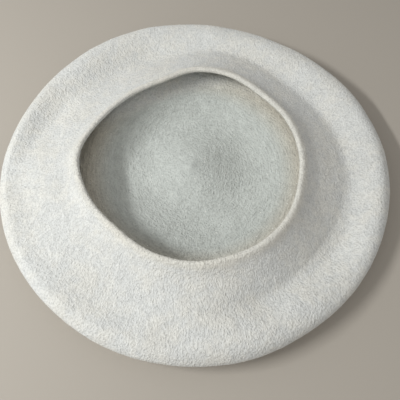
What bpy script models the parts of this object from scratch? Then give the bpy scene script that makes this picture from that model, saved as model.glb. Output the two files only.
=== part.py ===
"""Felt beret lying on its crown with the opening up.

Metres, +Z up, the crown resting on z = 0, the middle of the hat over the origin.
One moulded piece of felt: crown, rounded fold, upper ring and the collar with its rim.
"""
import math

import bmesh
import bpy
import numpy as np

# Sizes of the whole hat
HAT_WIDTH = 0.284
OPENING_WIDTH = 0.152
RIM_HEIGHT = 0.0355
FOLD_HEIGHT = 0.0125

# Felt
FELT_THICKNESS = 0.0024
RIM_THICKNESS = 0.0038

# Lip: the last part of the collar, which stands up to the rim
LIP_HEIGHT = 0.0075
LIP_LEAN = 0.0100

# Crown under the hollow
DIMPLE_HEIGHT = 0.0038
DIMPLE_WIDTH = 0.084
REST_WIDTH = 0.150

# Mesh: steps round the hat and along each stretch of the felt from the middle to the rim
AZIMUTH_STEPS = 72
DIMPLE_STEPS = 5
REST_STEPS = 2
STRETCH_STEPS = {
    "crown_edge": 3,
    "fold_under": 3,
    "fold_side": 3,
    "fold_top": 3,
    "crest": 2,
    "valley": 4,
    "collar": 2,
    "lip_foot": 3,
    "rim": 3,
}
RIM_ROUND_STEPS = 4

# Underside of the fold: reach as a share of the half width, height as a share of FOLD_HEIGHT
CROWN_EDGE = {"reach": 0.860, "height": 0.130}
FOLD_UNDER = {"reach": 0.955, "height": 0.420}
# Upper side of the fold: reach as a share of the half width, height as a share of the way to the crest
FOLD_TOP = {"reach": 0.975, "height": 0.720}
# Collar just above the valley: shares of the way from the valley to the foot of the lip
COLLAR = {"reach": 0.270, "height": 0.200}

# Ring by azimuth, in degrees from +X towards +Y. Outline is a share of half HAT_WIDTH and rim_reach
# of half OPENING_WIDTH. The lifts are shares of RIM_HEIGHT. Crest and valley reach run from the rim
# at 0 to the edge of the hat at 1. Lean is a share of LIP_LEAN.
RING_COLUMNS = (
    "azimuth", "outline", "rim_reach", "rim_lift",
    "valley_reach", "valley_lift", "crest_reach", "crest_lift", "lean",
)
RING_TABLE = (
    (0, 1.013, 0.961, 0.985, 0.560, 0.440, 0.895, 0.570, 1.10),
    (22, 1.003, 0.924, 0.985, 0.525, 0.440, 0.875, 0.585, 1.10),
    (45, 0.979, 0.888, 0.990, 0.510, 0.455, 0.820, 0.600, 1.10),
    (72, 0.971, 0.914, 1.000, 0.570, 0.490, 0.825, 0.585, 1.25),
    (90, 0.985, 0.908, 1.000, 0.560, 0.515, 0.815, 0.575, 1.20),
    (112, 1.005, 0.846, 0.985, 0.565, 0.500, 0.815, 0.575, 0.90),
    (135, 1.003, 0.877, 0.960, 0.570, 0.500, 0.850, 0.590, 0.85),
    (160, 1.001, 0.959, 0.935, 0.640, 0.490, 0.890, 0.570, 0.90),
    (182, 1.010, 1.062, 0.930, 0.760, 0.490, 0.910, 0.500, 1.05),
    (205, 1.006, 1.046, 0.940, 0.755, 0.505, 0.900, 0.505, 1.10),
    (230, 0.998, 1.016, 0.955, 0.715, 0.525, 0.895, 0.535, 1.10),
    (252, 1.002, 1.059, 0.970, 0.655, 0.550, 0.865, 0.570, 0.95),
    (262, 1.002, 1.075, 0.977, 0.610, 0.575, 0.860, 0.585, 0.90),
    (271, 1.003, 1.083, 0.982, 0.570, 0.555, 0.855, 0.595, 0.90),
    (283, 1.006, 1.078, 0.990, 0.480, 0.530, 0.830, 0.610, 0.95),
    (300, 1.000, 1.077, 1.000, 0.460, 0.430, 0.800, 0.600, 0.85),
    (318, 1.004, 1.052, 1.000, 0.490, 0.390, 0.825, 0.565, 0.90),
    (340, 1.008, 0.992, 0.990, 0.565, 0.405, 0.885, 0.550, 1.00),
)

FELT_COLOUR = (0.72, 0.70, 0.63, 1.0)
FELT_ROUGHNESS = 0.95


def clear_scene():
    for thing in list(bpy.data.objects):
        bpy.data.objects.remove(thing, do_unlink=True)


def steady_slopes(knots, values):
    """Slopes that keep a cubic curve from swinging past its values: level at each high and low."""
    rates = np.diff(values) / np.diff(knots)
    before, after = rates[:-1], rates[1:]
    level = before * after <= 0
    total = np.where(level, 1.0, before + after)
    inner = np.where(level, 0.0, 2 * before * after / total)
    return np.concatenate([rates[:1], inner, rates[-1:]])


def smooth_values(knots, values, slopes, wanted):
    """Cubic curve through the values at rising knots, read at the wanted places."""
    span = np.clip(np.searchsorted(knots, wanted, side="right") - 1, 0, len(knots) - 2)
    width = knots[span + 1] - knots[span]
    share = (wanted - knots[span]) / width
    start = values[span] * (1 + 2 * share) * (1 - share) ** 2
    end = values[span + 1] * share ** 2 * (3 - 2 * share)
    leave = slopes[span] * width * share * (1 - share) ** 2
    arrive = slopes[span + 1] * width * share ** 2 * (share - 1)
    return start + end + leave + arrive


def ring_values(azimuths):
    """The columns of the ring table read all the way round, as arrays over the azimuths."""
    table = np.array(RING_TABLE, dtype=float)
    turn = np.zeros(len(RING_COLUMNS))
    turn[0] = 360.0
    rows = np.vstack([table[-3:] - turn, table, table[:3] + turn])
    columns = {}
    for place, name in enumerate(RING_COLUMNS[1:], start=1):
        slopes = np.gradient(rows[:, place], rows[:, 0])
        columns[name] = smooth_values(rows[:, 0], rows[:, place], slopes, azimuths)
    return columns


def between(start, end, share):
    return start + (end - start) * share


def stations(ring):
    """Reach and height of the middle of the felt at each named station, for every azimuth."""
    half_felt = FELT_THICKNESS / 2
    same = np.ones_like(ring["outline"])
    edge = HAT_WIDTH / 2 * ring["outline"] - half_felt
    rim = OPENING_WIDTH / 2 * ring["rim_reach"] + RIM_THICKNESS / 2
    rim_top = RIM_HEIGHT * ring["rim_lift"] - RIM_THICKNESS / 2
    foot = rim + LIP_LEAN * ring["lean"]
    foot_top = rim_top - LIP_HEIGHT
    valley = between(rim, edge, ring["valley_reach"])
    valley_top = RIM_HEIGHT * ring["valley_lift"] - half_felt
    crest_top = RIM_HEIGHT * ring["crest_lift"] - half_felt
    floor = half_felt * same
    return {
        "rest": (REST_WIDTH / 2 * same, floor),
        "crown_edge": (edge * CROWN_EDGE["reach"], floor + FOLD_HEIGHT * CROWN_EDGE["height"]),
        "fold_under": (edge * FOLD_UNDER["reach"], floor + FOLD_HEIGHT * FOLD_UNDER["height"]),
        "fold_side": (edge, FOLD_HEIGHT * same),
        "fold_top": (edge * FOLD_TOP["reach"], between(FOLD_HEIGHT, crest_top, FOLD_TOP["height"])),
        "crest": (between(rim, edge, ring["crest_reach"]), crest_top),
        "valley": (valley, valley_top),
        "collar": (between(valley, foot, COLLAR["reach"]), between(valley_top, foot_top, COLLAR["height"])),
        "lip_foot": (foot, foot_top),
        "rim": (rim, rim_top),
    }


def dimple_rows():
    """Reach and height of the crown from just off the middle to the edge of the dimple."""
    rows = []
    for step in range(1, DIMPLE_STEPS + 1):
        share = step / DIMPLE_STEPS
        lift = DIMPLE_HEIGHT * (1 + math.cos(math.pi * share)) / 2
        rows.append((DIMPLE_WIDTH / 2 * share, FELT_THICKNESS / 2 + lift))
    return rows


def rest_rows():
    """Flat part of the crown between the dimple and the end of the resting face."""
    rows = []
    for step in range(1, REST_STEPS):
        reach = between(DIMPLE_WIDTH / 2, REST_WIDTH / 2, step / REST_STEPS)
        rows.append((reach, FELT_THICKNESS / 2))
    return rows


def stretch_places(names):
    """Where the rows lie along the stations: 0 at the first one, 1 at the next, and so on."""
    places = [0.0]
    for index, name in enumerate(names[1:]):
        count = STRETCH_STEPS[name]
        places.extend(index + step / count for step in range(1, count + 1))
    return np.array(places)


def curve_through(reach, height, places):
    """Rows on a smooth curve through one azimuth's stations, leaving the first one level."""
    steps = np.hypot(np.diff(reach), np.diff(height))
    run = np.concatenate([[0.0], np.cumsum(steps)])
    wanted = np.interp(places, np.arange(len(run)), run)
    rise = steady_slopes(run, height)
    rise[0] = 0.0
    curved_reach = smooth_values(run, reach, steady_slopes(run, reach), wanted)
    return curved_reach, smooth_values(run, height, rise, wanted)


def middle_surface():
    """Points through the middle of the felt as rows by azimuth, from the crown to the rim."""
    azimuths = np.arange(AZIMUTH_STEPS) * 360.0 / AZIMUTH_STEPS
    marks = stations(ring_values(azimuths))
    places = stretch_places(list(marks))
    crown = np.array(dimple_rows() + rest_rows())
    columns = []
    for step in range(AZIMUTH_STEPS):
        reach = np.array([mark[0][step] for mark in marks.values()])
        height = np.array([mark[1][step] for mark in marks.values()])
        curved_reach, curved_height = curve_through(reach, height, places)
        reach = np.concatenate([crown[:, 0], curved_reach])
        height = np.concatenate([crown[:, 1], curved_height])
        turn = math.radians(azimuths[step])
        columns.append(np.stack([reach * math.cos(turn), reach * math.sin(turn), height], axis=-1))
    return np.stack(columns, axis=1)


def unit(vectors):
    return vectors / np.linalg.norm(vectors, axis=-1, keepdims=True)


def surface_directions(points):
    """Direction along the felt towards the rim and direction out of it, at every point."""
    middle = np.zeros_like(points[:1])
    middle[..., 2] = points[0, 0, 2]
    padded = np.concatenate([middle, points], axis=0)
    along = np.empty_like(points)
    along[:-1] = padded[2:] - padded[:-2]
    along[-1] = points[-1] - points[-2]
    around = np.roll(points, -1, axis=1) - np.roll(points, 1, axis=1)
    return unit(along), unit(np.cross(around, along))


def half_thickness(points):
    """Half the felt at each point: the felt's own, growing to the rim's over the lip."""
    steps = np.linalg.norm(np.diff(points, axis=0), axis=-1)
    run = np.vstack([np.zeros(points.shape[1]), np.cumsum(steps, axis=0)])
    share = np.clip(1 - (run[-1] - run) / LIP_HEIGHT, 0.0, 1.0)
    share = share * share * (3 - 2 * share)
    return between(FELT_THICKNESS, RIM_THICKNESS, share)[..., None] / 2


def skin_rows():
    """Rows of the closed skin: up the outside, over the round rim and down the inside."""
    points = middle_surface()
    along, out = surface_directions(points)
    half = half_thickness(points)
    rounding = []
    for step in range(1, RIM_ROUND_STEPS):
        angle = math.pi * step / RIM_ROUND_STEPS
        swing = out[-1] * math.cos(angle) + along[-1] * math.sin(angle)
        rounding.append(points[-1] + swing * half[-1])
    return list(points + out * half) + rounding + list((points - out * half)[::-1])


def join_rows(shape, lower, upper):
    """Faces between two rows of corners that run round the hat."""
    for step in range(AZIMUTH_STEPS):
        after = (step + 1) % AZIMUTH_STEPS
        shape.faces.new((lower[step], lower[after], upper[after], upper[step]))


def close_row(shape, row, height):
    """Fan of faces from a row to a new corner on the hat's axis."""
    middle = shape.verts.new((0.0, 0.0, height))
    for step in range(AZIMUTH_STEPS):
        shape.faces.new((middle, row[step], row[(step + 1) % AZIMUTH_STEPS]))


def centre_over_origin(shape):
    """Puts the middle of the hat's width and depth over the origin."""
    corners = np.array([corner.co for corner in shape.verts])
    middle = (corners.min(axis=0) + corners.max(axis=0)) / 2
    bmesh.ops.translate(shape, verts=shape.verts, vec=(-middle[0], -middle[1], 0.0))


def skin_mesh(name):
    shape = bmesh.new()
    rows = [[shape.verts.new(corner) for corner in row] for row in skin_rows()]
    for lower, upper in zip(rows, rows[1:]):
        join_rows(shape, lower, upper)
    close_row(shape, rows[0], DIMPLE_HEIGHT)
    close_row(shape, rows[-1], DIMPLE_HEIGHT + FELT_THICKNESS)
    centre_over_origin(shape)
    bmesh.ops.recalc_face_normals(shape, faces=shape.faces)
    mesh = bpy.data.meshes.new(name)
    shape.to_mesh(mesh)
    shape.free()
    mesh.shade_smooth()
    return mesh


def felt_material():
    material = bpy.data.materials.new("cream_felt")
    material.use_nodes = True
    shader = material.node_tree.nodes["Principled BSDF"]
    shader.inputs["Base Color"].default_value = FELT_COLOUR
    shader.inputs["Roughness"].default_value = FELT_ROUGHNESS
    return material


def felt_beret():
    mesh = skin_mesh("felt_beret")
    mesh.materials.append(felt_material())
    hat = bpy.data.objects.new("felt_beret", mesh)
    bpy.context.scene.collection.objects.link(hat)
    return hat


def main():
    clear_scene()
    felt_beret()


main()
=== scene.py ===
"""Cream felt beret lying on its crown with the opening up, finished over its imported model.

Metres, +Z up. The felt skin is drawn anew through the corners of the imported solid, finer and softer,
with the nap that stands on it.
"""
import math

import bmesh
import bpy
import numpy as np
from mathutils import Matrix, Vector, noise

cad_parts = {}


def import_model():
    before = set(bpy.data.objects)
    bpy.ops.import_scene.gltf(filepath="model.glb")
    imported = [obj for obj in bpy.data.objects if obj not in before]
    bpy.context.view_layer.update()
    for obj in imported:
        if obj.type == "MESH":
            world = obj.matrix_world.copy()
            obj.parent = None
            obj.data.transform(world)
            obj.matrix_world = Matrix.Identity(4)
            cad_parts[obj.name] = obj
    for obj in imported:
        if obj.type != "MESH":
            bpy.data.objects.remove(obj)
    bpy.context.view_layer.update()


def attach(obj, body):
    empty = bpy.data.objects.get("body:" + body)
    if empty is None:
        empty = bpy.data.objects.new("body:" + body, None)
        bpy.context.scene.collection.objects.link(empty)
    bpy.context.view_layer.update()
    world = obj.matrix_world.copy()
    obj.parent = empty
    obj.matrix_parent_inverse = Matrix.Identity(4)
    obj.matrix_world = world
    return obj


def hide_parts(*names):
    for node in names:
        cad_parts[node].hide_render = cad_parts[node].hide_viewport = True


HAT = "felt_beret"

# Camera: where it looks, from which side, how steep and how far, and how much it takes in
LOOK_AT = (0.0038, -0.0302, 0.014)
CAMERA_AZIMUTH = -90.0
CAMERA_ELEVATION = 64.94
CAMERA_DISTANCE = 0.3003
SENSOR_WIDTH = 36.0
LENS = 37.8

# Light: a narrow panel on the left, a weak broad one left of the camera, and an even surround
KEY_AZIMUTH = 192.0
KEY_ELEVATION = 42.0
KEY_DISTANCE = 0.85
KEY_SIZE = (0.36, 0.05)
KEY_POWER = 4.7
FILL_AZIMUTH = 240.0
FILL_ELEVATION = 48.0
FILL_DISTANCE = 1.3
FILL_SIZE = (0.9, 0.5)
FILL_POWER = 0.7
LAMP_COLOUR = (0.985, 1.0, 0.985)
SURROUND_COLOUR = (1.0, 0.985, 0.95)
SURROUND_STRENGTH = 0.415

# Floor
FLOOR_SIZE = 30.0
FLOOR_COLOUR = (0.47, 0.43, 0.38)
FLOOR_FINISH = {"Roughness": 0.8}

# Fine skin: corners round the hat, and the length of a cell along the felt where it shows and where not.
# Rows get fewer corners once their cells are narrower than the least width, down to the fewest corners
FINE_AZIMUTHS = 480
SEEN_CELL = 0.00125
HIDDEN_CELL = 0.0045
LEAST_WIDTH = 0.0008
FEWEST_CORNERS = 30
WELD_DISTANCE = 0.00001

# What shows: outside, rows above a height; inside, rows within the rim's reach times a factor, and rows
# above a share of the hat's height. Fine cells and the rim's fibres start at other shares of that height
SEEN_PAST_RIM = 1.08
FINE_PAST_RIM = 1.1
INNER_SEEN_SHARE = 0.6
FINE_START_SHARE = 1 / 8
RIM_SHARE = 0.93

# Unevenness of the felt, waves shared by both its faces and lumps of each face: width and height. Waves
# start above the still height and are full at the loose height, and inside they are at least a share
WAVE_WIDTH = 0.026
WAVE_HEIGHT = 0.0006
LUMP_WIDTH = 0.0065
LUMP_HEIGHT = 0.00016
STILL_HEIGHT = 0.002
LOOSE_HEIGHT = 0.010
INNER_LOOSE_SHARE = 0.5

# Crown as worn felt: a low knob in the middle and a rolled swell under the rim. Columns are reach from
# the hat's axis and lift. The swell is higher on one side, and fades out up to the crown's top
CROWN_FORM = (
    (0.000, 0.0052),
    (0.012, 0.0034),
    (0.028, 0.0008),
    (0.042, -0.0001),
    (0.050, 0.0008),
    (0.060, 0.0034),
    (0.070, 0.0064),
    (0.080, 0.0086),
    (0.090, 0.0072),
    (0.102, 0.0034),
    (0.122, 0.0012),
    (0.136, 0.0005),
    (0.142, 0.0),
)
CROWN_TOP = 0.015
SWELL_START = 0.025
SWELL_AZIMUTH = 90.0
SWELL_TILT = 0.4

# Soft dents and swells: where they lie, how far they spread round and outwards, and their lift. Those of
# the ring fade out between the two heights of its foot
DENT_COLUMNS = ("azimuth", "reach", "turn_spread", "reach_spread", "lift")
RING_DENTS = (
    (33.0, 0.109, 18.0, 0.010, -0.0019),
    (118.0, 0.107, 26.0, 0.015, -0.0030),
    (108.0, 0.110, 13.0, 0.012, -0.0036),
    (134.0, 0.098, 12.0, 0.010, -0.0020),
    (163.0, 0.118, 8.0, 0.010, -0.0026),
    (193.0, 0.106, 9.0, 0.009, 0.0016),
    (236.0, 0.112, 12.0, 0.010, -0.0018),
    (277.0, 0.112, 9.0, 0.012, 0.0036),
    (325.0, 0.121, 13.0, 0.010, -0.0052),
)
CROWN_DENTS = (
    (236.0, 0.062, 22.0, 0.014, 0.0066),
    (118.0, 0.068, 28.0, 0.014, 0.0070),
    (322.0, 0.078, 26.0, 0.013, -0.0028),
)
RING_FOOT = (0.009, 0.015)

# Nap: fibres lying over the felt that shows, and longer ones that stand on the rim, each a slim spike on
# three corners. They start a root's depth inside the felt and stay a little above the table
NAP_SEED = 7
NAP = {"count": 42000, "length": (0.0010, 0.0024), "rise": (0.10, 0.55), "width": 0.00009}
RIM_NAP = {"count": 3000, "length": (0.0012, 0.0030), "rise": (0.30, 0.95), "width": 0.00008}
NAP_ROOT = 0.0001
NAP_LOWEST = 0.0002
THIRDS = (0.0, 2 * math.pi / 3, 4 * math.pi / 3)
SPIKE_FACES = ((0, 2, 1), (0, 1, 3), (1, 2, 3), (2, 0, 3))

# Colours of the felt, with the heights and reaches between which one goes over into the next
FELT_COLOUR = (0.775, 0.785, 0.775)
WARM_COLOUR = (0.78, 0.765, 0.715)
WARM_SHARE = 0.7
# Paler, warmer rim: painted light shining through the thin felt of the rim, between two heights
RIM_GLOW_COLOUR = (0.85, 0.82, 0.74)
RIM_GLOW_SHARE = 0.6
RIM_GLOW_HEIGHTS = (0.030, 0.0345)
# Crown's inner side: painted shade of the hollow, darker and greenish grey, below a height and within a reach
INNER_SHADE_COLOUR = (0.625, 0.655, 0.63)
INNER_HEIGHTS = (0.013, 0.017)
INNER_REACH = (0.086, 0.098)
# Painted shade where the rim hangs over the crown, warm brown like light bounced in the felt
UNDER_RIM_SHADE_COLOUR = (0.64, 0.60, 0.52)
UNDER_RIM_SHADE_REACH = (0.062, 0.081)
SPECK_COLOUR = (0.88, 0.87, 0.84)
NAP_COLOURS = ((0.74, 0.72, 0.66), (0.86, 0.85, 0.82))

# Finish of the felt and of its fibres, as sockets of the shader
FELT_FINISH = {"Roughness": 0.95, "Specular IOR Level": 0.2, "Sheen Weight": 0.12, "Sheen Roughness": 0.6}
NAP_FINISH = {"Roughness": 0.8, "Specular IOR Level": 0.25, "Sheen Weight": 0.2}
BUMP_HEIGHT = 0.00062

# Marks of the felt: their widths, the noise that draws them, the values of the noise between which they
# come in, and how much they darken or lighten
GRAIN_WIDTH = 0.0013
STROKE_WIDTH = 0.0007
STROKE_LENGTH = 0.0018
STROKE_REACH = 0.110
SWIRL_WIDTH = 0.0010
SWIRL_LENGTH = 0.0045
SWIRL_REACH = 0.045
LEAST_REACH = 0.001
TUFT_WIDTH = 0.0026
BLOTCH_WIDTH = 0.007
CLOUD_WIDTH = 0.030
SPECK_SPACING = 0.004
SPECK_CUT = 0.6
SPECK_EDGE = (0.08, 0.128)
NOISE_ROUGHNESS = 0.6
MARK_DETAIL = 2.0
CLOUD_DETAIL = 1.0
NAP_DETAIL = 3.0
MIDDLE_VALUES = (0.35, 0.65)
WARM_VALUES = (0.75, 1.3)
# Painted shade in the low places of the grain's relief and painted light on its high places
PIT_SHADE_VALUES = (0.65, 1.25)
PAINTED_PIT_SHADES = (0.84, 1.08)
PATCH_SHADES = (0.955, 1.03)

# Numbers of sockets: the mix node's, whose names are the same for numbers and for colours, and the factor
# by which a vector is scaled
MIX_SHARE = 0
MIX_NUMBERS = (2, 3)
MIX_COLOURS = (6, 7)
MIXED_NUMBER = 0
MIXED_COLOUR = 2
SCALE_FACTOR = 3

# Least length to divide by, as some lengths may be nothing
TINY = 1e-12


def corner_rows(node):
    """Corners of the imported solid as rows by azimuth, from the middle under the crown to the one inside."""
    shape = bmesh.new()
    shape.from_mesh(node.data)
    bmesh.ops.remove_doubles(shape, verts=shape.verts, dist=WELD_DISTANCE)
    poles = sorted(shape.verts, key=lambda corner: -len(corner.link_edges))[:2]
    low, high = sorted(poles, key=lambda corner: corner.co.z)
    columns = [set() for _ in low.link_edges]
    for corner in set(shape.verts) - {low, high}:
        turn = math.atan2(corner.co.y - low.co.y, corner.co.x - low.co.x) / (2 * math.pi)
        columns[round(turn * len(columns)) % len(columns)].add(corner)
    strings = [[low.co, *string_along(low, column), high.co] for column in columns]
    rows = np.array(strings).transpose(1, 0, 2)
    shape.free()
    return rows


def string_along(start, left):
    """Places of one column's corners in their order along the felt, by their edges where it isn't level."""
    string = []
    while left:
        linked = [edge.other_vert(start) for edge in start.link_edges if edge.other_vert(start) in left]
        level = [corner for corner in left if abs(corner.co.z - start.co.z) < WELD_DISTANCE]
        start = min(linked or level, key=lambda corner: (corner.co - start.co).length)
        left.remove(start)
        string.append(start.co)
    return string


def hermite(start, end, leave, arrive, share):
    """Cubic curve between two points with the given slopes."""
    back = 1 - share
    return (
        start * (1 + 2 * share) * back ** 2
        + end * share ** 2 * (3 - 2 * share)
        + leave * share * back ** 2
        - arrive * share ** 2 * back
    )


def read_along(rows, places):
    """Rows read at places counted in rows, on smooth curves along the felt."""
    half = rows.shape[1] // 2
    opposite = np.roll(rows[[1, -2]], half, axis=1)
    rows = np.concatenate([opposite[:1], rows, opposite[1:]], axis=0)
    steps = np.diff(rows, axis=0)
    lengths = np.linalg.norm(steps, axis=-1, keepdims=True)
    rates = steps / lengths
    slopes = (rates[:-1] * lengths[1:] + rates[1:] * lengths[:-1]) / (lengths[1:] + lengths[:-1])
    index = np.minimum(places.astype(int), len(slopes) - 2)
    share = (places - index)[:, None, None]
    span = lengths[index + 1]
    return hermite(rows[index + 1], rows[index + 2], slopes[index] * span, slopes[index + 1] * span, share)


def read_around(rows, count):
    """Rows with the wanted number of corners round the hat, on smooth curves."""
    places = np.arange(count) * rows.shape[1] / count
    index = places.astype(int)
    share = (places - index)[None, :, None]
    slopes = (np.roll(rows, -1, axis=1) - np.roll(rows, 1, axis=1)) / 2
    after = (index + 1) % rows.shape[1]
    return hermite(rows[:, index], rows[:, after], slopes[:, index], slopes[:, after], share)


def in_sight(points, lowest, past_rim):
    """Which rows of the felt show: outside above a height, inside where the opening lets them be seen."""
    reach = np.linalg.norm(points[..., :2] - points[0, 0, :2], axis=-1).mean(axis=1)
    height = points[..., 2].mean(axis=1)
    rim = int(height.argmax())
    order = np.arange(len(points))
    outside = (order <= rim) & (height > lowest)
    inside = (order >= rim) & ((reach < reach[rim] * past_rim) | (height > height.max() * INNER_SEEN_SHARE))
    return outside | inside


def fine_places(rows):
    """Where the fine rows lie, counted in the solid's rows: close together where the felt shows."""
    order = np.arange(len(rows))
    highest = rows[..., 2].mean(axis=1).max()
    shows = in_sight(rows, highest * FINE_START_SHARE, FINE_PAST_RIM)
    cell = np.where(shows, SEEN_CELL, HIDDEN_CELL)
    length = np.linalg.norm(np.diff(rows, axis=0), axis=-1).mean(axis=1)
    cells = np.concatenate([[0.0], np.cumsum(length / np.minimum(cell[1:], cell[:-1]))])
    count = math.ceil(cells[-1])
    return np.interp(np.linspace(0, cells[-1], count + 1), cells, order.astype(float))


def fine_rows(rows):
    """The solid's rows on smooth curves, in fine steps both ways."""
    return read_around(read_along(rows, fine_places(rows)), FINE_AZIMUTHS)


def outward(points):
    """Direction out of the felt at every point of the fine rows."""
    along = np.gradient(points, axis=0)
    around = np.roll(points, -1, axis=1) - np.roll(points, 1, axis=1)
    across = np.cross(around, along)
    length = np.linalg.norm(across, axis=-1, keepdims=True)
    across = across / np.maximum(length, TINY)
    across[0] = (0.0, 0.0, -1.0)
    across[-1] = (0.0, 0.0, 1.0)
    return across


def skin_mesh(name, points):
    """Closed mesh through the fine rows, with fewer corners in the small rows round the middle."""
    middle = points[0, 0, :2]
    corners = [points[0, 0]]
    faces = []
    previous = None
    for row in points[1:-1]:
        reach = np.linalg.norm(row[:, :2] - middle, axis=-1).mean()
        skip = 1
        while reach * 2 * math.pi * skip / len(row) < LEAST_WIDTH and len(row) // skip > FEWEST_CORNERS:
            skip *= 2
        current = list(range(len(corners), len(corners) + len(row) // skip))
        corners.extend(row[::skip])
        if previous is None:
            faces.extend((0, current[k], current[k - 1]) for k in range(len(current)))
        else:
            faces.extend(faces_between(previous, current))
        previous = current
    top = len(corners)
    corners.append(points[-1, 0])
    faces.extend((top, previous[k - 1], previous[k]) for k in range(len(previous)))
    mesh = bpy.data.meshes.new(name)
    mesh.from_pydata(np.array(corners).tolist(), [], faces)
    mesh.shade_smooth()
    return mesh


def faces_between(lower, upper):
    """Faces between two rows that have as many corners, or one twice as many as the other."""
    faces = []
    short, long = sorted((lower, upper), key=len)
    step = len(long) // len(short)
    for k in range(len(short)):
        side = [short[k], short[(k + 1) % len(short)]]
        other = [long[(k * step + n) % len(long)] for n in range(step + 1)]
        if short is lower:
            face = side + other[::-1]
        else:
            face = other + side[::-1]
        faces.append(tuple(face))
    return faces


def seen_share(points):
    """1 for each row of the fine skin that is in sight, 0 for those under the hat and in the hollow."""
    return in_sight(points, STILL_HEIGHT, SEEN_PAST_RIM).astype(float)


def noise_over(points, width, flat):
    """Smooth noise between about -1 and 1 at every point, the same up and down where it is flat."""
    places = points.reshape(-1, 3) / width
    if flat:
        places = places * (1.0, 1.0, 0.0)
    values = [noise.noise(Vector(place)) for place in places]
    return np.array(values).reshape(points.shape[:2])


def crown_form(points):
    """Lift of the crown's two faces that turns its flat bottom into a bowl with a knob and a swell."""
    flat = points[..., :2] - points[0, 0, :2]
    reach = np.linalg.norm(flat, axis=-1)
    knots, lifts = np.array(CROWN_FORM).T
    rates = np.gradient(lifts, knots)
    index = np.clip(np.searchsorted(knots, reach, side="right") - 1, 0, len(knots) - 2)
    span = knots[index + 1] - knots[index]
    share = np.clip((reach - knots[index]) / span, 0.0, 1.0)
    lift = hermite(lifts[index], lifts[index + 1], rates[index] * span, rates[index + 1] * span, share)
    turn = np.arctan2(flat[..., 1], flat[..., 0]) - math.radians(SWELL_AZIMUTH)
    tilt = SWELL_TILT * np.cos(turn) * np.clip(reach / SWELL_START - 1, 0.0, 1.0)
    low = np.clip((CROWN_TOP - points[..., 2]) / (CROWN_TOP / 2), 0.0, 1.0)
    return (lift * (1 + tilt) + dents_over(points, CROWN_DENTS)) * low


def ring_form(points):
    """Lift of the ring's two faces in its soft dents and swells."""
    foot, top = RING_FOOT
    return dents_over(points, RING_DENTS) * np.clip((points[..., 2] - foot) / (top - foot), 0.0, 1.0)


def dents_over(points, dents):
    """Lift of a table of dents at every point."""
    flat = points[..., :2] - points[0, 0, :2]
    reach = np.linalg.norm(flat, axis=-1)
    azimuth = np.degrees(np.arctan2(flat[..., 1], flat[..., 0]))
    total = np.zeros_like(reach)
    for dent in dents:
        form = dict(zip(DENT_COLUMNS, dent))
        turn = (azimuth - form["azimuth"] + 180) % 360 - 180
        far = (turn / form["turn_spread"]) ** 2 + ((reach - form["reach"]) / form["reach_spread"]) ** 2
        total += form["lift"] * np.exp(-far / 2)
    return total


def uneven(points):
    """The fine rows in the crown's and ring's form, with the waves and lumps of worn felt."""
    height = points[..., 2]
    order = np.arange(len(points))[:, None]
    rim = int(height.mean(axis=1).argmax())
    loose = np.clip((height - STILL_HEIGHT) / (LOOSE_HEIGHT - STILL_HEIGHT), 0.0, 1.0)
    loose = np.where(order > rim, np.maximum(loose, INNER_LOOSE_SHARE), loose)
    form = crown_form(points) + ring_form(points)
    wave = noise_over(points, WAVE_WIDTH, flat=True) * WAVE_HEIGHT * loose
    lump = noise_over(points, LUMP_WIDTH, flat=False) * LUMP_HEIGHT * seen_share(points)[:, None]
    moved = points + outward(points) * lump[..., None]
    moved[..., 2] += wave + form
    moved[..., 2] = np.maximum(moved[..., 2], 0.0)
    moved[0] = moved[0].mean(axis=0)
    moved[-1] = moved[-1].mean(axis=0)
    return moved


def add_node(tree, kind, inputs, **settings):
    """A shader node with its settings, and its sockets set to values or joined to other nodes."""
    made = tree.nodes.new(kind)
    for name, value in settings.items():
        setattr(made, name, value)
    for name, value in inputs.items():
        if isinstance(value, bpy.types.NodeSocket):
            tree.links.new(value, made.inputs[name])
        else:
            made.inputs[name].default_value = value
    return made


def maths(tree, operation, *values):
    return add_node(tree, "ShaderNodeMath", dict(enumerate(values)), operation=operation).outputs[0]


def noise_value(tree, vector, scale, detail, fourth=None):
    """Noise from 0 to 1 at a point, which may have a fourth coordinate."""
    inputs = {"Vector": vector, "Scale": scale, "Detail": detail, "Roughness": NOISE_ROUGHNESS}
    if fourth is None:
        return add_node(tree, "ShaderNodeTexNoise", inputs).outputs["Fac"]
    inputs["W"] = fourth
    return add_node(tree, "ShaderNodeTexNoise", inputs, noise_dimensions="4D").outputs["Fac"]


def strokes(tree, place, reach, across, along):
    """Noise drawn out: across is its width round the hat at the given reach, along its width outwards."""
    steady = maths(tree, "MAXIMUM", place["reach"], LEAST_REACH)
    wide = [maths(tree, "MULTIPLY", place[axis], reach / across) for axis in "xy"]
    turned = [maths(tree, "DIVIDE", value, steady) for value in wide]
    outwards = maths(tree, "MULTIPLY", place["reach"], 1 / along)
    upwards = maths(tree, "MULTIPLY", place["z"], 1 / along)
    vector = add_node(tree, "ShaderNodeCombineXYZ", {0: turned[0], 1: turned[1], 2: outwards}).outputs[0]
    return noise_value(tree, vector, 1.0, MARK_DETAIL, upwards)


def felt_place(tree):
    """Where a point of the felt is: its coordinates and its distance from the hat's axis."""
    object_place = add_node(tree, "ShaderNodeTexCoord", {}).outputs["Object"]
    parts = add_node(tree, "ShaderNodeSeparateXYZ", {0: object_place}).outputs
    inputs = {0: object_place, 1: (1.0, 1.0, 0.0)}
    level = add_node(tree, "ShaderNodeVectorMath", inputs, operation="MULTIPLY").outputs[0]
    reach = add_node(tree, "ShaderNodeVectorMath", {0: level}, operation="LENGTH").outputs["Value"]
    return {"whole": object_place, "x": parts[0], "y": parts[1], "z": parts[2], "reach": reach}


def between_limits(tree, value, start, end, low, high):
    inputs = {"Value": value, "From Min": start, "From Max": end, "To Min": low, "To Max": high}
    return add_node(tree, "ShaderNodeMapRange", inputs, interpolation_type="SMOOTHSTEP").outputs[0]


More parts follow.
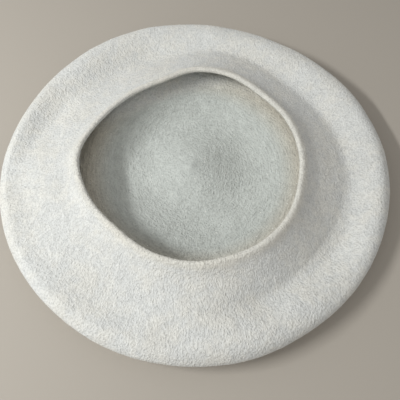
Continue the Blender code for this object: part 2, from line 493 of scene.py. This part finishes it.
def mixed(tree, share, start, end):
    """Colour between two colours, each of them a socket or three numbers."""
    inputs = {MIX_SHARE: share}
    for number, colour in zip(MIX_COLOURS, (start, end)):
        inputs[number] = (*colour, 1.0) if isinstance(colour, tuple) else colour
    return add_node(tree, "ShaderNodeMix", inputs, data_type="RGBA").outputs[MIXED_COLOUR]


def scaled(tree, colour, factor):
    inputs = {0: colour, SCALE_FACTOR: factor}
    return add_node(tree, "ShaderNodeVectorMath", inputs, operation="SCALE").outputs[0]


def felt_marks(tree):
    """Marks of the felt, each from 0 to 1, their place, and 1 above the crown's inner side and 0 on it."""
    place = felt_place(tree)
    ring = strokes(tree, place, STROKE_REACH, STROKE_WIDTH, STROKE_LENGTH)
    swirl = strokes(tree, place, SWIRL_REACH, SWIRL_LENGTH, SWIRL_WIDTH)
    high = between_limits(tree, place["z"], *INNER_HEIGHTS, 0.0, 1.0)
    far = between_limits(tree, place["reach"], *INNER_REACH, 0.0, 1.0)
    above = maths(tree, "MAXIMUM", high, far)
    inputs = {MIX_SHARE: above, MIX_NUMBERS[0]: swirl, MIX_NUMBERS[1]: ring}
    drawn = add_node(tree, "ShaderNodeMix", inputs, data_type="FLOAT").outputs[MIXED_NUMBER]
    return {
        "grain": noise_value(tree, place["whole"], 1 / GRAIN_WIDTH, MARK_DETAIL),
        "strokes": drawn,
        "tufts": noise_value(tree, place["whole"], 1 / TUFT_WIDTH, MARK_DETAIL),
        "blotches": noise_value(tree, place["whole"], 1 / BLOTCH_WIDTH, MARK_DETAIL),
        "clouds": noise_value(tree, place["whole"], 1 / CLOUD_WIDTH, CLOUD_DETAIL),
        "above": above,
        "place": place,
    }


def specks(tree, place):
    """1 on a few small specks of paler wool, 0 elsewhere."""
    inputs = {"Vector": place["whole"], "Scale": 1 / SPECK_SPACING}
    cells = add_node(tree, "ShaderNodeTexVoronoi", inputs).outputs
    chance = add_node(tree, "ShaderNodeSeparateColor", {0: cells["Color"]}).outputs[0]
    chosen = maths(tree, "GREATER_THAN", chance, SPECK_CUT)
    small = between_limits(tree, cells["Distance"], *SPECK_EDGE, 1.0, 0.0)
    return maths(tree, "MULTIPLY", chosen, small)


def felt_colour(tree, marks):
    """Cream felt, warmer in clouds, with painted light glowing through the rim, painted shade inside the
    hollow and under the rim, painted shade and light over the grain's relief, and paler specks.
    """
    place = marks["place"]
    warm = maths(tree, "ADD", marks["clouds"], marks["blotches"])
    warm = between_limits(tree, warm, *WARM_VALUES, 0.0, WARM_SHARE)
    outer = mixed(tree, warm, FELT_COLOUR, WARM_COLOUR)
    # Painted shade under the overhanging rim, warm brown towards the rim
    under_rim_shade = between_limits(tree, place["reach"], *UNDER_RIM_SHADE_REACH, 0.0, 1.0)
    inner = mixed(tree, under_rim_shade, INNER_SHADE_COLOUR, UNDER_RIM_SHADE_COLOUR)
    # Inside the hollow the felt is painted darker and greener as its shade
    colour = mixed(tree, marks["above"], inner, outer)
    # Painted light glowing through the thin rim, as a paler, warmer band near the top
    edge = between_limits(tree, place["z"], *RIM_GLOW_HEIGHTS, 0.0, RIM_GLOW_SHARE)
    colour = mixed(tree, edge, colour, RIM_GLOW_COLOUR)
    # Painted shade and light that follow the grain's relief: darker where it is low, lighter where it is high
    pit_shade = maths(tree, "ADD", marks["grain"], marks["strokes"])
    colour = scaled(tree, colour, between_limits(tree, pit_shade, *PIT_SHADE_VALUES, *PAINTED_PIT_SHADES))
    colour = scaled(tree, colour, between_limits(tree, marks["blotches"], *MIDDLE_VALUES, *PATCH_SHADES))
    return mixed(tree, specks(tree, place), colour, SPECK_COLOUR)


def shaded(name, finish):
    """A new material, its node tree, and its shader with the finish on the shader's own sockets."""
    material = bpy.data.materials.new(name)
    material.use_nodes = True
    shader = material.node_tree.nodes["Principled BSDF"]
    for socket, value in finish.items():
        shader.inputs[socket].default_value = value
    return material, material.node_tree, shader


def felt_material():
    """Matte brushed wool: soft sheen, cream mottling, and grain, strokes, tufts and blotches as relief."""
    material, tree, shader = shaded("felt", FELT_FINISH)
    marks = felt_marks(tree)
    tree.links.new(felt_colour(tree, marks), shader.inputs["Base Color"])
    relief = marks["grain"]
    for mark in ("strokes", "tufts", "blotches"):
        relief = maths(tree, "ADD", relief, marks[mark])
    bump = add_node(tree, "ShaderNodeBump", {"Height": relief, "Distance": BUMP_HEIGHT, "Strength": 1.0})
    tree.links.new(bump.outputs[0], shader.inputs["Normal"])
    return material


def nap_material():
    """Single wool fibres, in paler and darker patches."""
    material, tree, shader = shaded("nap", NAP_FINISH)
    shade = noise_value(tree, felt_place(tree)["whole"], 1 / LUMP_WIDTH, NAP_DETAIL)
    shade = between_limits(tree, shade, *MIDDLE_VALUES, 0.0, 1.0)
    tree.links.new(mixed(tree, shade, *NAP_COLOURS), shader.inputs["Base Color"])
    return material


def own_piece(name, mesh, material):
    """A visible piece of the hat with its material, which rides the hat's body."""
    mesh.materials.append(material)
    piece = bpy.data.objects.new(name, mesh)
    bpy.context.scene.collection.objects.link(piece)
    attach(piece, "root")
    return piece


def fibres(points, weights, kind, random_numbers):
    """Corners of slim closed spikes whose roots lie in the felt, spread by area and weight."""
    start = points[:-1]
    around = np.roll(start, -1, axis=1) - start
    along = points[1:] - start
    across = np.cross(around, along)
    area = np.linalg.norm(across, axis=-1)
    chance = (area * weights[:-1, None]).ravel()
    cells = random_numbers.choice(len(chance), size=kind["count"], p=chance / chance.sum())
    out = (across / np.maximum(area, TINY)[..., None]).reshape(-1, 3)[cells]
    shares = random_numbers.random((2, kind["count"], 1))
    round_hat = around.reshape(-1, 3)[cells]
    up_felt = along.reshape(-1, 3)[cells]
    roots = start.reshape(-1, 3)[cells] + round_hat * shares[0] + up_felt * shares[1] - out * NAP_ROOT
    turn = random_numbers.uniform(0, 2 * math.pi, (kind["count"], 1))
    side = unit(round_hat) * np.cos(turn) + unit(up_felt) * np.sin(turn)
    rise = random_numbers.uniform(*kind["rise"], (kind["count"], 1))
    lean = unit(side + out * rise / np.sqrt(1 - rise ** 2))
    length = random_numbers.uniform(*kind["length"], (kind["count"], 1))
    first = unit(np.cross(lean, out))
    second = np.cross(lean, first)
    half = kind["width"] / 2
    ring = [roots + (first * math.cos(angle) + second * math.sin(angle)) * half for angle in THIRDS]
    return np.stack([*ring, roots + lean * length], axis=1)


def unit(vectors):
    return vectors / np.maximum(np.linalg.norm(vectors, axis=-1, keepdims=True), TINY)


def nap(points):
    """Short fibres over the felt that shows, and longer ones on the rim."""
    random_numbers = np.random.default_rng(NAP_SEED)
    seen = seen_share(points)
    height = points[..., 2].mean(axis=1)
    on_rim = (height > height.max() * RIM_SHARE).astype(float)
    spikes = np.concatenate([
        fibres(points, seen, NAP, random_numbers),
        fibres(points, on_rim, RIM_NAP, random_numbers),
    ])
    spikes[..., 2] = np.maximum(spikes[..., 2], NAP_LOWEST)
    corner = np.arange(len(spikes))[:, None, None] * spikes.shape[1]
    faces = (corner + np.array(SPIKE_FACES)).reshape(-1, 3)
    mesh = bpy.data.meshes.new("beret_nap")
    mesh.from_pydata(spikes.reshape(-1, 3).tolist(), [], faces.tolist())
    own_piece("beret_nap", mesh, nap_material())


def felt_skin(points):
    """The felt itself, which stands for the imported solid."""
    skin = own_piece("beret_felt", skin_mesh("beret_felt", points), felt_material())
    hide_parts(HAT)


def floor():
    half = FLOOR_SIZE / 2
    mesh = bpy.data.meshes.new("floor")
    corners = [(-half, -half, 0.0), (half, -half, 0.0), (half, half, 0.0), (-half, half, 0.0)]
    mesh.from_pydata(corners, [], [(0, 1, 2, 3)])
    material, _, shader = shaded("floor", FLOOR_FINISH)
    shader.inputs["Base Color"].default_value = (*FLOOR_COLOUR, 1.0)
    mesh.materials.append(material)
    plane = bpy.data.objects.new("floor", mesh)
    bpy.context.scene.collection.objects.link(plane)


def direction(azimuth, elevation):
    turn = math.radians(azimuth)
    rise = math.radians(elevation)
    return Vector((math.cos(turn) * math.cos(rise), math.sin(turn) * math.cos(rise), math.sin(rise)))


def facing(place, back):
    """Matrix that puts a camera or lamp at a place, looking along the opposite of back."""
    right = Vector((0.0, 0.0, 1.0)).cross(back).normalized()
    up = back.cross(right)
    matrix = Matrix((right, up, back)).transposed().to_4x4()
    matrix.translation = place
    return matrix


def panel(name, azimuth, elevation, distance, size, power):
    """Rectangular lamp that looks at the hat from the given side."""
    light = bpy.data.lights.new(name, "AREA")
    light.shape = "RECTANGLE"
    light.size, light.size_y = size
    light.energy = power
    light.color = LAMP_COLOUR
    lamp = bpy.data.objects.new(name, light)
    bpy.context.scene.collection.objects.link(lamp)
    back = direction(azimuth, elevation)
    lamp.matrix_world = facing(back * distance, back)


def lights():
    panel("key", KEY_AZIMUTH, KEY_ELEVATION, KEY_DISTANCE, KEY_SIZE, KEY_POWER)
    panel("fill", FILL_AZIMUTH, FILL_ELEVATION, FILL_DISTANCE, FILL_SIZE, FILL_POWER)
    world = bpy.data.worlds.new("surround")
    bpy.context.scene.world = world
    world.use_nodes = True
    surround = world.node_tree.nodes["Background"]
    surround.inputs["Color"].default_value = (*SURROUND_COLOUR, 1.0)
    surround.inputs["Strength"].default_value = SURROUND_STRENGTH


def camera():
    view = bpy.data.cameras.new("camera")
    view.sensor_width = SENSOR_WIDTH
    view.lens = LENS
    holder = bpy.data.objects.new("camera", view)
    bpy.context.scene.collection.objects.link(holder)
    back = direction(CAMERA_AZIMUTH, CAMERA_ELEVATION)
    holder.matrix_world = facing(Vector(LOOK_AT) + back * CAMERA_DISTANCE, back)
    bpy.context.scene.camera = holder


def main():
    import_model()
    points = uneven(fine_rows(corner_rows(bpy.data.objects[HAT])))
    felt_skin(points)
    nap(points)
    floor()
    lights()
    camera()
    bpy.context.scene.view_settings.view_transform = "Standard"


main()
